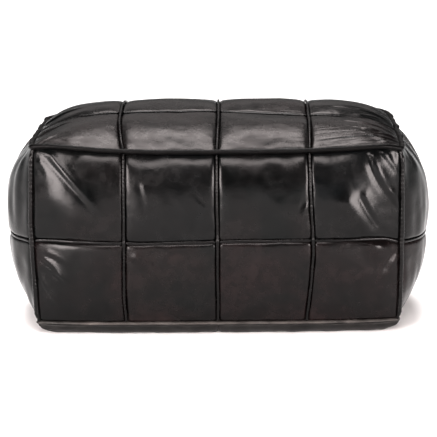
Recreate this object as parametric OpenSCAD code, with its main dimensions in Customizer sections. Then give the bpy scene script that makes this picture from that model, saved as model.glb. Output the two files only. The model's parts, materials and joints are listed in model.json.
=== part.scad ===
// Rectangular stuffed leather pouf, patchwork cover with welted seams and a zip in the base.
// The origin is on the floor under the middle, +X runs along the length and -Y is the front.

/* [Patchwork] */
// Cut size of one leather square
square = 150; // [120:1:200]
// Squares along the length
columns = 4; // [3:1:4]
// Height from the base seam to the top seam
wall_height = 293; // [240:1:360]

/* [Stuffed shape] */
// How far the middle of the top stands above its edge seams
top_bulge = 37; // [20:1:60]
// How much further the back of the top is filled than its front: 0 is even
top_lean = 0.5; // [0:0.05:0.6]
// How far the left end's front top corner stands up, and its back top corner hangs down
left_tilt = 7; // [0:0.5:10]
// How far the top's long edges rise near their ends
shoulder_rise = 5; // [0:0.5:8]
// How far the middle of each end stands out
end_bulge = 48; // [15:1:60]
// How far the middle of the front and back stands out
side_bulge = 18; // [8:1:40]
// How far one square puffs out between its own seams
square_puff = 4; // [1:0.5:8]
// How far the top seam bows outward at the middle of an end
end_bow = 7; // [2:1:20]
// How far the top and base seams bow outward at the middle of a side
side_bow = 12; // [4:1:20]
// How far the row seam comes down at an end
row_dip = 8; // [0:0.5:12]
// How much narrower the base is than the top, on the front and on the back
base_taper = 9; // [0:1:15]
// Height of the base seam at the corners
base_seam_z = 23; // [16:1:28]
// How far the base seam comes down at the middle of an end
base_end_sag = 8; // [0:1:9]
// How far the top seam comes down at the middle of an end
top_end_sag = 4; // [0:1:8]

/* [Leather] */
// Thickness of the leather
leather_t = 1.6; // [1:0.1:2.4]
// Half the width of a welt in a long seam
welt_half_w = 2.6; // [2:0.1:3.2]
// Half the height of a welt in a long seam
welt_half_h = 3.2; // [2.4:0.1:4]
// Half the width of a welt between two squares of one strip
row_welt_half_w = 2; // [1.5:0.1:2.6]
// Half the height of a welt between two squares of one strip
row_welt_half_h = 2.4; // [1.8:0.1:3]

/* [Inside] */
// Distance from the leather's face to the cotton liner
liner_inset = 4.5; // [4:0.1:6]
// Thickness of the cotton liner
liner_t = 0.8; // [0.5:0.1:1.2]
// Distance from the leather's face to the filling
filling_inset = 11; // [10:0.5:16]

/* [Zip] */
// Share of the length that the zip's coils take
zip_share = 0.63; // [0.5:0.01:0.66]
// Half the width of the slot between the leather edges
slot_half = 10; // [8:0.5:12]
// Height of the leather's edge above the floor along the zip
slot_lift = 7; // [7:0.5:9]
// Angle at which the pull hangs from its bail
pull_hang = 7; // [5:0.5:9]
// Length of the pull from its hinge to its tip
pull_length = 24; // [18:1:30]

/* [Hidden] */
depth_rows = 2;
half_l = columns * square / 2;
half_d = depth_rows * square / 2;
top_seam_z = base_seam_z + wall_height;
mid_z = base_seam_z + wall_height / 2;
zip_length = 2 * half_l * zip_share;

// Roundness of the stuffed shape along X and Y, and above and below the row seam:
// 2 is a parabola, more is fuller
full_x = 4.6;
full_y = 3.1;
full_up = 3.7;
full_down = 2.3;
full_puff = 4;
// Largest value of pow(a, 3) * (1 - pow(a, 10)), which shapes the shoulders
shoulder_peak = 0.48;

// The part of the base, from its middle, that lies flat on the floor
flat_x = 0.9;
flat_y = 0.8;
// How far the rolled rim rounds off the corners of the flat part, from 0 to 1
corner_round = 0.4;
// Turn of the rolled rim at which the base leather ends, short of its seam
rim_end_turn = 80;
rim_steps = 4;

// Room for the welts: half the gap between two squares, and the gap at a box edge
seam_gap = welt_half_w + 0.7;
edge_gap = welt_half_w + 1.4;
row_gap = row_welt_half_w + 0.6;
closed_gap = 0.6;

cells = 6;          // mesh cells along each side of a square
welt_sides = 8;
normal_step = 0.004;
slot_flank = 18;    // width over which the leather rises to the zip
slot_fade = 26;     // length over which the slot closes past the zip's ends
liner_lift = 12;    // how far the liner stands up over the zip
liner_gap = 4;      // space between two liner sheets at an edge

leather_black = [0.09, 0.08, 0.08];
welt_black = [0.06, 0.05, 0.05];
cotton_black = [0.20, 0.20, 0.19];
cotton_white = [0.86, 0.83, 0.76];
zip_black = [0.08, 0.08, 0.09];
gunmetal = [0.35, 0.34, 0.33];

// Zip heights, from the floor up
tape_z = slot_lift + leather_t + 0.3;
tape_t = 0.6;
coil_z = tape_z + tape_t / 2;
coil_r = 1.3;
coil_y = 2.3;
tape_half_w = 16;
chain_clear = 0.5;
plate_t = 1.3;
slider_l = 13;
slider_half_w = 5.2;
slider_x = -zip_length / 2 + slider_l / 2 + 2;
under_plate_z = coil_z - coil_r - chain_clear - plate_t;
over_plate_z = coil_z + coil_r + chain_clear;
wedge_half_w = 0.6;
bail_pin_r = 0.9;
bail_pin_z = under_plate_z - 1.9;
bail_arm_y = 3.1;
bail_arm_t = 1.1;
pull_bore_r = 0.98;
pull_eye_r = 1.7;
pull_half_w = 3.6;
pull_eye_half_w = 2.6;
pull_t = 1.4;
stop_l = 4;

function bow(t, fullness) = 1 - pow(abs(t), fullness);
function mix(low, high, w) = low + (high - low) * w;
function clamp01(t) = min(1, max(0, t));
function smooth(t) = let (k = clamp01(t)) k * k * (3 - 2 * k);
function unit(v) = v / norm(v);

// Height of the base: flat in the middle, rolled up to the base seam at the rim, lifted along the zip
function base_height(a, b, x, y, seam_z, lift) =
    let (
        rim_x = max(0, (abs(a) - flat_x) / (1 - flat_x)),
        rim_y = max(0, (abs(b) - flat_y) / (1 - flat_y)),
        far = max(rim_x, rim_y, 0.001),
        near = min(rim_x, rim_y),
        rim = min(1, far + (1 - far) * corner_round * pow(near / far, 2)),
        rolled = max(rim_x, rim_y) > 0 ? seam_z * (1 - sqrt(1 - rim * rim)) : 0,
        slot = 1 - smooth((abs(y) - slot_half - 2) / slot_flank),
        reach = 1 - smooth((abs(x) - zip_length / 2 - 8) / slot_fade)
    )
    rolled + lift * slot * reach;

// Point of the stuffed cover for a point (a, b, c) on the surface of a cube from -1 to 1
function skin(a, b, c, lift = slot_lift) =
    let (
        far_end = pow(abs(a), 3),
        w = (c + 1) / 2 - row_dip / wall_height * bow(c, 2) * far_end,
        along = bow(a, full_x),
        across = bow(b, full_y),
        up = bow(c, c > 0 ? full_up : full_down),
        shoulder = shoulder_rise / shoulder_peak * bow(a, 10) * far_end,
        tilt = (a < 0 ? left_tilt : 0) * b * far_end,
        x = a * (half_l + (end_bow * w + end_bulge * up) * across + 2 * up),
        y = b * (half_d - base_taper * (1 - w) + (side_bow + side_bulge * up) * along),
        low = base_seam_z - base_end_sag * across,
        high = top_seam_z - top_end_sag * across + shoulder - tilt
    )
    c <= -1 ? [x, y, base_height(a, b, x, y, low, lift)]
    : [x, y, mix(low, high, w) + (c >= 1 ? top_bulge * along * across * (1 + top_lean * b) : 0)];

// Cube point of (u, v) on a face, with u to the right and v up as seen from outside
function on_face(face, u, v) =
    face == "top" ? [u, v, 1]
    : face == "base" ? [u, -v, -1]
    : face == "front" ? [u, -1, v]
    : face == "back" ? [-u, 1, v]
    : face == "right" ? [1, u, v]
    : [-1, -u, v];

function face_point(face, u, v, lift = slot_lift) =
    let (p = on_face(face, u, v)) skin(p[0], p[1], p[2], lift);

function face_normal(face, u, v, lift = slot_lift) =
    let (
        du = face_point(face, u + normal_step, v, lift) - face_point(face, u - normal_step, v, lift),
        dv = face_point(face, u, v + normal_step, lift) - face_point(face, u, v - normal_step, lift)
    )
    unit(cross(du, dv));

// Half the size of a face along u and along v
function face_half(face) =
    face == "top" || face == "base" ? [half_l, half_d]
    : face == "front" || face == "back" ? [half_l, wall_height / 2]
    : [half_d, wall_height / 2];

function face_columns(face) =
    face == "base" ? 2
    : face == "left" || face == "right" ? depth_rows
    : columns;

// Closed sheet between two grids of points, with the outer grid's cells facing out
module sheet(outer, inner) {
    rows = len(outer);
    cols = len(outer[0]);
    count = rows * cols;
    points = [for (grid = [outer, inner]) for (line = grid) for (p = line) p];
    function at(i, j) = i * cols + j;
    skins = [
        for (i = [0:rows - 2]) for (j = [0:cols - 2])
        let (p = at(i, j), q = at(i, j + 1), r = at(i + 1, j + 1), s = at(i + 1, j))
        each [
            [p, r, q], [p, s, r],
            [p + count, q + count, r + count], [p + count, r + count, s + count]
        ]
    ];
    rim = concat(
        [for (j = [0:cols - 2]) at(0, j)],
        [for (i = [0:rows - 2]) at(i, cols - 1)],
        [for (j = [cols - 1:-1:1]) at(rows - 1, j)],
        [for (i = [rows - 1:-1:1]) at(i, 0)]
    );
    walls = [
        for (k = [0:len(rim) - 1])
        let (p = rim[k], q = rim[(k + 1) % len(rim)])
        each [[p, q, q + count], [p, q + count, p + count]]
    ];
    polyhedron(points = points, faces = concat(skins, walls));
}

// Sheet that lies a depth inside the skin, for a grid of skin points with their normals
module layer(grid, depth, thickness) {
    sheet(
        [for (line = grid) [for (g = line) g[0] - g[1] * depth]],
        [for (line = grid) [for (g = line) g[0] - g[1] * (depth + thickness)]]
    );
}

// Puff of one square at (s, t), each from 0 to 1 across the square
function puff(s, t) = square_puff * bow(2 * s - 1, full_puff) * bow(2 * t - 1, full_puff);

// One leather square: column from the left, row from the bottom, as seen from outside
module leather_square(face, column, row) {
    half = face_half(face);
    n = face_columns(face);
    u_low = -1 + 2 * column / n + (column == 0 ? edge_gap : seam_gap) / half[0];
    u_high = -1 + 2 * (column + 1) / n - (column == n - 1 ? edge_gap : seam_gap) / half[0];
    v_low = row == 0 ? -1 + edge_gap / half[1] : row_gap / half[1];
    v_high = row == 0 ? -row_gap / half[1] : 1 - edge_gap / half[1];
    grid = [
        for (i = [0:cells]) [
            for (j = [0:cells])
            let (
                u = mix(u_low, u_high, j / cells),
                v = mix(v_low, v_high, i / cells),
                out = face_normal(face, u, v)
            )
            [face_point(face, u, v) + out * puff(j / cells, i / cells), out]
        ]
    ];
    color(leather_black) layer(grid, 0, leather_t);
}

// Where the mesh of a base quarter is cut, along u from the middle and along v from the zip
zip_reach = (zip_length / 2 + 8) / half_l;
fade_reach = slot_fade / half_l;
base_u = concat(
    [closed_gap / half_l],
    [for (k = [1:4]) zip_reach * k / 4],
    [for (k = [1:3]) zip_reach + fade_reach * k / 3],
    [for (k = [0:rim_steps]) mix(flat_x, 1, sin(rim_end_turn * k / rim_steps))]
);
base_v = concat(
    [0, 0.07, 0.14, 0.21, 0.5],
    [for (k = [0:rim_steps]) mix(flat_y, 1, sin(rim_end_turn * k / rim_steps))]
);

// Cube v of the base leather's inner edge, which opens out along the zip
function base_inner_v(u) =
    let (
        x = u * half_l,
        open = 1 - smooth((abs(x) - zip_length / 2 - 4) / slot_fade),
        y = mix(closed_gap, slot_half, open)
    )
    y / (half_d - base_taper + side_bow * bow(u, full_x));

// One quarter of the base: side is -1 on the left or 1 on the right, and end is -1 at the back or 1 in front
module base_quarter(side, end) {
    flip = side * end < 0;
    us = flip ? [for (k = [len(base_u) - 1:-1:0]) base_u[k]] : base_u;
    grid = [
        for (share = base_v) [
            for (u = us)
            let (
                v = mix(base_inner_v(u), 1, share) * end
            )
            [face_point("base", u * side, v), face_normal("base", u * side, v)]
        ]
    ];
    color(leather_black) layer(grid, 0, leather_t);
}

// Bead swept along centres, standing up along the normals, closed into a ring or capped at its ends
module bead(centres, normals, half_w, half_h, ring = false) {
    n = len(centres);
    rings = [
        for (i = [0:n - 1])
        let (
            next = ring ? (i + 1) % n : min(i + 1, n - 1),
            last = ring ? (i + n - 1) % n : max(i - 1, 0),
            along = unit(centres[next] - centres[last]),
            side = unit(cross(along, normals[i])),
            up = cross(side, along)
        )
        [
            for (k = [0:welt_sides - 1])
            let (angle = 360 * (k + 0.5) / welt_sides)
            centres[i] + side * half_w * cos(angle) + up * half_h * sin(angle)
        ]
    ];
    points = [for (r = rings) for (p = r) p];
    spans = ring ? n : n - 1;
    sides = [
        for (i = [0:spans - 1]) for (k = [0:welt_sides - 1])
        let (
            j = (i + 1) % n,
            m = (k + 1) % welt_sides,
            p = i * welt_sides + k,
            q = i * welt_sides + m,
            r = j * welt_sides + m,
            s = j * welt_sides + k
        )
        each [[p, r, q], [p, s, r]]
    ];
    caps = ring ? [] : [
        [for (k = [0:welt_sides - 1]) k],
        [for (k = [welt_sides - 1:-1:0]) (n - 1) * welt_sides + k]
    ];
    polyhedron(points = points, faces = concat(sides, caps));
}

// Welt along a straight line of a face, from one (u, v) to another
module face_welt(face, start, end, half_w, half_h, steps) {
    at = [for (i = [0:steps]) mix(start, end, i / steps)];
    normals = [for (p = at) face_normal(face, p[0], p[1])];
    centres = [for (i = [0:steps]) face_point(face, at[i][0], at[i][1]) + normals[i] * 0.4];
    color(welt_black) bead(centres, normals, half_w, half_h);
}

// Long welts that join the strips of squares of one face
module column_welts(face) {
    half = face_half(face);
    n = face_columns(face);
    stop = 1 - (edge_gap + 0.6) / half[1];
    for (k = [1:n - 1])
        face_welt(face, [-1 + 2 * k / n, -stop], [-1 + 2 * k / n, stop], welt_half_w, welt_half_h, 2 * cells);
}

// Short welts between the two squares of each strip
module row_welts(face) {
    half = face_half(face);
    n = face_columns(face);
    for (k = [0:n - 1]) {
        left = -1 + 2 * k / n + (k == 0 ? edge_gap + 0.6 : seam_gap + 0.4) / half[0];
        right = -1 + 2 * (k + 1) / n - (k == n - 1 ? edge_gap + 0.6 : seam_gap + 0.4) / half[0];
        face_welt(face, [left, 0], [right, 0], row_welt_half_w, row_welt_half_h, cells);
    }
}

// Points of the cube's outline at height c, once round, with the outward direction of each
function outline(c, rise) = [
    for (edge = [0:3])
    let (steps = edge % 2 == 0 ? 4 * cells : 2 * cells)
    for (k = [0:steps - 1])
    let (
        t = -1 + 2 * k / steps,
        place = edge == 0 ? [t, -1] : edge == 1 ? [1, t] : edge == 2 ? [-t, 1] : [-1, -t],
        out = edge == 0 ? [0, -1] : edge == 1 ? [1, 0] : edge == 2 ? [0, 1] : [-1, 0],
        before = edge == 0 ? [-1, 0] : edge == 1 ? [0, -1] : edge == 2 ? [1, 0] : [0, 1],
        both = k == 0 ? out + before : out
    )
    [skin(place[0], place[1], c), unit([both[0], both[1], rise])]
];

module top_edge_welt() {
    loop = outline(1, 0.9);
    color(welt_black)
    bead([for (p = loop) p[0] + p[1] * 0.4], [for (p = loop) p[1]], welt_half_w, welt_half_h, true);
}

module base_edge_welt() {
    loop = outline(-1, -0.2);
    color(welt_black)
    bead([for (p = loop) p[0] + p[1] * 0.4], [for (p = loop) p[1]], row_welt_half_w, row_welt_half_h, true);
}

// Welts down the four upright edges
module corner_welts() {
    steps = 2 * cells;
    stop = 1 - (edge_gap + 2.6) / (wall_height / 2);
    for (a = [-1, 1]) for (b = [-1, 1]) {
        out = unit([a, b, 0]);
        color(welt_black)
        bead(
            [for (i = [0:steps]) skin(a, b, mix(-stop, stop, i / steps)) + out * 0.4],
            [for (i = [0:steps]) out],
            welt_half_w, welt_half_h
        );
    }
}

// Six cotton sheets, one behind each face, sewn into the bag that holds the filling
module cotton_liner() {
    for (face = ["top", "base", "front", "back", "left", "right"]) {
        half = face_half(face);
        u_end = 1 - (liner_inset + liner_gap) / half[0];
        v_end = 1 - (liner_inset + liner_gap) / half[1];
        cols = face == "left" || face == "right" ? 8 : 12;
        rows = 8;
        grid = [
            for (i = [0:rows]) [
                for (j = [0:cols])
                let (
                    u = mix(-u_end, u_end, j / cols),
                    v = mix(-v_end, v_end, i / rows)
                )
                [face_point(face, u, v, liner_lift), face_normal(face, u, v, liner_lift)]
            ]
        ];
        color(cotton_black) layer(grid, liner_inset, liner_t);
    }
}

// A point of the cover moved in towards the middle
function inset(p) = [
    p[0] * (1 - filling_inset / (half_l + end_bulge)),
    p[1] * (1 - filling_inset / (half_d + side_bulge)),
    mid_z + (p[2] - mid_z) * (1 - filling_inset / mid_z)
];

// Stuffing: rings round the X axis, which grow over one end, run along the length and shrink over the other
module filling() {
    side_steps = 6;
    around = [
        for (edge = [0:3]) for (k = [0:side_steps - 1])
        let (t = -1 + 2 * k / side_steps)
        edge == 0 ? [t, -1] : edge == 1 ? [1, t] : edge == 2 ? [-t, 1] : [-1, -t]
    ];
    stations = concat(
        [for (s = [0.15, 0.4, 0.65, 0.85]) [-1, s]],
        [for (k = [0:12]) [-1 + k / 6, 1]],
        [for (s = [0.85, 0.65, 0.4, 0.15]) [1, s]]
    );
    m = len(around);
    points = [for (st = stations) for (p = around) inset(skin(st[0], p[0] * st[1], p[1] * st[1], liner_lift))];
    sides = [
        for (i = [0:len(stations) - 2]) for (k = [0:m - 1])
        let (p = i * m + k, q = i * m + (k + 1) % m)
        each [[p, q, q + m], [p, q + m, p + m]]
    ];
    caps = [
        [for (k = [m - 1:-1:0]) k],
        [for (k = [0:m - 1]) (len(stations) - 1) * m + k]
    ];
    color(cotton_white) polyhedron(points = points, faces = concat(sides, caps));
}

// Woven tape beside the coils, side is -1 in front or 1 at the back
module zip_tape(side) {
    inner_y = coil_y - 0.6;
    color(zip_black)
    difference() {
        translate([-zip_length / 2 - 8, side > 0 ? inner_y : -tape_half_w, tape_z])
            cube([zip_length + 16, tape_half_w - inner_y, tape_t]);
        coil_bore(side);
    }
}

module coil_bore(side) {
    translate([-zip_length / 2 - 10, side * coil_y, coil_z])
        rotate([0, 90, 0]) cylinder(h = zip_length + 20, r = coil_r + 0.05, $fn = 48);
}

module zip_coil(side) {
    color(zip_black)
    translate([-zip_length / 2, side * coil_y, coil_z])
        rotate([0, 90, 0]) cylinder(h = zip_length, r = coil_r, $fn = 48);
}

// Crimped stops past each end of the coils
module zip_stops() {
    for (side = [-1, 1])
        color(gunmetal)
        translate([side * (zip_length / 2 + 0.3 + stop_l / 2), 0, coil_z + tape_t / 2 + 0.1 + 0.6])
            cube([stop_l, 2 * coil_y + 2 * coil_r, 1.2], center = true);
}

module slider_plate(z) {
    translate([slider_x, 0, z + plate_t / 2])
    intersection() {
        cube([slider_l, 2 * slider_half_w, plate_t], center = true);
        cylinder(h = plate_t, r = slider_l / 2 + 0.6, center = true, $fn = 64);
    }
}

// Two plates round the coils, joined by a post that runs between the coils
module zip_slider() {
    post_l = 4;
    color(gunmetal)
    union() {
        slider_plate(under_plate_z);
        slider_plate(over_plate_z);
        translate([slider_x - post_l / 2, -wedge_half_w, under_plate_z + plate_t / 2])
            cube([post_l, 2 * wedge_half_w, over_plate_z - under_plate_z]);
    }
}

// Two arms and a cross pin under the slider, which the pull swings on
module zip_bail() {
    arm_r = 1.5;
    color(gunmetal)
    union() {
        for (side = [-1, 1])
            translate([slider_x, side * (bail_arm_y + bail_arm_t / 2), 0]) {
                translate([0, 0, bail_pin_z]) rotate([90, 0, 0])
                    cylinder(h = bail_arm_t, r = arm_r, center = true, $fn = 48);
                translate([-arm_r, -bail_arm_t / 2, bail_pin_z])
                    cube([2 * arm_r, bail_arm_t, under_plate_z - bail_pin_z]);
            }
        translate([slider_x, 0, bail_pin_z]) rotate([90, 0, 0])
            cylinder(h = 2 * bail_arm_y + bail_arm_t, r = bail_pin_r, center = true, $fn = 48);
    }
}

// Flat tab with a round eye on the bail's pin and a finger hole near its tip
module zip_pull() {
    color(gunmetal)
    translate([slider_x, 0, bail_pin_z])
    rotate([0, pull_hang, 0])
    difference() {
        union() {
            rotate([90, 0, 0]) cylinder(h = 2 * pull_eye_half_w, r = pull_eye_r, center = true, $fn = 48);
            translate([0, -pull_eye_half_w, -pull_t / 2]) cube([5, 2 * pull_eye_half_w, pull_t]);
            translate([4, -pull_half_w, -pull_t / 2]) cube([pull_length - 4 - pull_half_w, 2 * pull_half_w, pull_t]);
            translate([pull_length - pull_half_w, 0, 0])
                cylinder(h = pull_t, r = pull_half_w, center = true, $fn = 64);
        }
        rotate([90, 0, 0]) cylinder(h = 20, r = pull_bore_r, center = true, $fn = 48);
        translate([pull_length - pull_half_w, 0, 0])
            cylinder(h = 2 * pull_t, r = 1.6, center = true, $fn = 48);
    }
}

wall_faces = ["front", "back", "left", "right"];
seamed_faces = ["top", "front", "back", "left", "right"];
wall_rows = ["lower", "upper"];
top_rows = ["front", "back"];

// Every leather square: its name, face, column and row
squares = concat(
    [
        for (row = [0:1]) for (column = [0:columns - 1])
        [str("top_square_", top_rows[row], "_", column + 1), "top", column, row]
    ],
    [
        for (face = wall_faces) for (row = [0:1]) for (column = [0:face_columns(face) - 1])
        [str(face, "_square_", wall_rows[row], "_", column + 1), face, column, row]
    ]
);

// The base's quarters: their names, sides and ends
quarters = [
    for (end = [1, -1]) for (side = [-1, 1])
    [str("base_", end > 0 ? "front" : "back", "_", side < 0 ? "left" : "right"), side, end]
];

for (s = squares) leather_square(s[1], s[2], s[3]);
for (q = quarters) base_quarter(q[1], q[2]);
for (face = seamed_faces) {
    column_welts(face);
    row_welts(face);
}
top_edge_welt();
base_edge_welt();
corner_welts();
cotton_liner();
filling();
zip_tape(-1);  // zip_tape_front
zip_tape(1);  // zip_tape_back
zip_coil(-1);  // zip_coil_front
zip_coil(1);  // zip_coil_back
zip_stops();
zip_slider();
zip_bail();
zip_pull();
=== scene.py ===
"""The stuffed leather pouf's looks: the CAD's cover shape, with fine relief from a cloth simulation."""

import json
import math

import bpy
import numpy as np
from mathutils import Matrix, Vector

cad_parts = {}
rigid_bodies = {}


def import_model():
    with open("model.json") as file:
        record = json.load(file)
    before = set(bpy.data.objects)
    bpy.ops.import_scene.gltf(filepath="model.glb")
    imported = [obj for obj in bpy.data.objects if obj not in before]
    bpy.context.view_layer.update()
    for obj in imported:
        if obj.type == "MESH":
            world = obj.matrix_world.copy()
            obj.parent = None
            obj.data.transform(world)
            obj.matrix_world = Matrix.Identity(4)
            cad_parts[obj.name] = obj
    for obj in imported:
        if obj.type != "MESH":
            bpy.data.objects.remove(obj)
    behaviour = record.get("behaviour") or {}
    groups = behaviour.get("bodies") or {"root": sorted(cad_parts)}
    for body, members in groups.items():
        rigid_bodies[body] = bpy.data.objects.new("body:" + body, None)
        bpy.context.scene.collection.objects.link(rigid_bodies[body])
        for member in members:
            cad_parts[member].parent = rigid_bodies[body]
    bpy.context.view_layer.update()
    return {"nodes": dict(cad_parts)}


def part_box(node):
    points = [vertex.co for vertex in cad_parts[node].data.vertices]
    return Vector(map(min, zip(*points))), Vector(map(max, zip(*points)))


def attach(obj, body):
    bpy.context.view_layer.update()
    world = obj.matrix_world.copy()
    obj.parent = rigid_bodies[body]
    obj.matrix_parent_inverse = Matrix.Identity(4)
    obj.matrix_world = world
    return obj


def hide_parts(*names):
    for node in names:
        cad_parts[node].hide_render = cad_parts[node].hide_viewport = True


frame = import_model()

# The CAD's driving dimensions, in metres
SQUARE = 0.150
WALL = 0.293
BASE_Z = 0.023
TOP_BULGE = 0.037
TOP_LEAN = 0.5
LEFT_TILT = 0.007
SHOULDER_RISE = 0.005
END_BULGE = 0.048
SIDE_BULGE = 0.018
END_BOW = 0.007
SIDE_BOW = 0.012
ROW_DIP = 0.008
BASE_TAPER = 0.009
BASE_END_SAG = 0.008
TOP_END_SAG = 0.004
FULL_X, FULL_Y, FULL_UP, FULL_DOWN = 4.6, 3.1, 3.7, 2.3
HALF_L = 2 * SQUARE
HALF_D = SQUARE
TOP_Z = BASE_Z + WALL

# The zip's channel in the base, from the zip's own nodes
ZIP_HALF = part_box("zip_coil_front")[1].x
TAPE_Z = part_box("zip_tape_front")[0].z
SLOT_HALF = 0.010
SLOT_LIFT = TAPE_Z - 0.0019
SLOT_FLANK = 0.018
SLOT_FADE = 0.026
FLAT_X, FLAT_Y = 0.9, 0.8

LEATHER = 0.0014
FACES = ("top", "base", "front", "back", "right", "left")
SEAMED = ("top", "front", "back", "right", "left")
CELLS = 24  # simulated cells along a square
CUT_SHARE = 1.1  # how much larger than its square each piece of leather is cut
PRESSURE = 6
SEAM_SHRINK = 0.03
LAST_FRAME = 30
BROAD_PASSES = 180  # smoothing passes that part the simulated shape from its detail
EDGE_DETAIL, INNER_DETAIL, DETAIL_FADE = 0.12, 0.26, 0.035


# ---------------------------------------------------------------- the stuffed shape


def bow(t, fullness):
    return 1 - np.abs(t) ** fullness


def smooth(t):
    k = np.clip(t, 0, 1)
    return k * k * (3 - 2 * k)


def base_height(a, b, x, y, seam_z):
    """The base: flat, rolled up to its seam at the rim, and lifted along the zip."""
    rim_x = np.clip((np.abs(a) - FLAT_X) / (1 - FLAT_X), 0, 1)
    rim_y = np.clip((np.abs(b) - FLAT_Y) / (1 - FLAT_Y), 0, 1)
    far = np.maximum(np.maximum(rim_x, rim_y), 0.001)
    near = np.minimum(rim_x, rim_y)
    rim = np.clip(far + (1 - far) * 0.4 * (near / far) ** 2, 0, 1)
    rolled = np.where(far > 0.001, seam_z * (1 - np.sqrt(1 - rim**2)), 0)
    slot = 1 - smooth((np.abs(y) - SLOT_HALF - 0.002) / SLOT_FLANK)
    reach = 1 - smooth((np.abs(x) - ZIP_HALF - 0.008) / SLOT_FADE)
    return rolled + SLOT_LIFT * slot * reach


def skin(a, b, c):
    """Points of the stuffed cover for points of a cube's surface, each from -1 to 1."""
    far_end = np.abs(a) ** 3
    w = (c + 1) / 2 - ROW_DIP / WALL * bow(c, 2) * far_end
    along, across = bow(a, FULL_X), bow(b, FULL_Y)
    up = np.where(c > 0, bow(c, FULL_UP), bow(c, FULL_DOWN))
    rise = (SHOULDER_RISE / 0.48 * bow(a, 10) - np.where(a < 0, LEFT_TILT * b, 0)) * far_end
    x = a * (HALF_L + (END_BOW * w + END_BULGE * up) * across + 0.002 * up)
    y = b * (HALF_D - BASE_TAPER * (1 - w) + (SIDE_BOW + SIDE_BULGE * up) * along)
    low = BASE_Z - BASE_END_SAG * across
    high = TOP_Z - TOP_END_SAG * across + rise
    z = low + (high - low) * w + np.where(c >= 1, TOP_BULGE * along * across * (1 + TOP_LEAN * b), 0)
    z = np.where(c <= -1, base_height(a, b, x, y, low), z)
    return np.stack([x, y, z], -1)


def on_face(face, u, v):
    """Cube points of a face, with u to the right and v up as seen from outside."""
    u, v = np.broadcast_arrays(np.asarray(u, float), np.asarray(v, float))
    one = np.ones_like(u)
    return {
        "top": (u, v, one),
        "base": (u, -v, -one),
        "front": (u, -one, v),
        "back": (-u, one, v),
        "right": (one, u, v),
        "left": (-one, -u, v),
    }[face]


def half_size(face):
    wide = HALF_L if face in ("top", "base", "front", "back") else HALF_D
    return wide, HALF_D if face in ("top", "base") else WALL / 2


def columns(face):
    return 4 if face in ("top", "front", "back") else 2


# ---------------------------------------------------------------- the cloth simulation


def lattice(face):
    """Lattice numbers of a face's grid of simulated points, rows up and columns to the right."""
    nx, ny, nz = 4 * CELLS, 2 * CELLS, 2 * CELLS
    wide = nx if half_size(face)[0] == HALF_L else ny
    p, q = np.meshgrid(np.arange(wide + 1), np.arange(nz + 1))
    i, j, k = {
        "top": (p, q, nz + 0 * p),
        "base": (p, ny - q, 0 * p),
        "front": (p, 0 * p, q),
        "back": (nx - p, ny + 0 * p, q),
        "right": (nx + 0 * p, p, q),
        "left": (0 * p, ny - p, q),
    }[face]
    return (i * (ny + 1) + j) * (nz + 1) + k


def inflate(start, rest, quads, seam):
    """Sews the flat cover, fills it with air, and gives where its points come to rest."""
    mesh = bpy.data.meshes.new("cover")
    mesh.from_pydata(start.tolist(), [], quads.tolist())
    cover = bpy.data.objects.new("cover", mesh)
    bpy.context.scene.collection.objects.link(cover)
    cover.shape_key_add(name="Basis")
    flat = cover.shape_key_add(name="flat")
    flat.data.foreach_set("co", rest.astype(np.float32).ravel())
    group = cover.vertex_groups.new(name="seam")
    group.add(np.flatnonzero(seam).tolist(), 1.0, "REPLACE")
    cloth = cover.modifiers.new("cloth", "CLOTH")
    s = cloth.settings
    s.quality = 6
    s.mass = 0.3
    s.tension_stiffness = s.compression_stiffness = 40
    s.shear_stiffness = 15
    s.bending_stiffness = 2
    s.tension_damping = s.compression_damping = 20
    s.shear_damping = 10
    s.bending_damping = 2
    s.air_damping = 5
    s.use_pressure = True
    s.uniform_pressure_force = PRESSURE
    s.rest_shape_key = flat
    s.vertex_group_shrink = "seam"
    s.shrink_min, s.shrink_max = 0.0, SEAM_SHRINK
    s.effector_weights.gravity = 0
    cloth.collision_settings.use_collision = False
    cloth.collision_settings.use_self_collision = False
    scene = bpy.context.scene
    for f in range(1, LAST_FRAME + 1):
        scene.frame_set(f)
    settled = cover.evaluated_get(bpy.context.evaluated_depsgraph_get())
    points = np.zeros(len(start) * 3, np.float32)
    settled.data.vertices.foreach_get("co", points)
    scene.frame_set(1)
    bpy.data.objects.remove(cover)
    bpy.data.meshes.remove(mesh)
    return points.reshape(-1, 3).astype(float)


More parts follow.
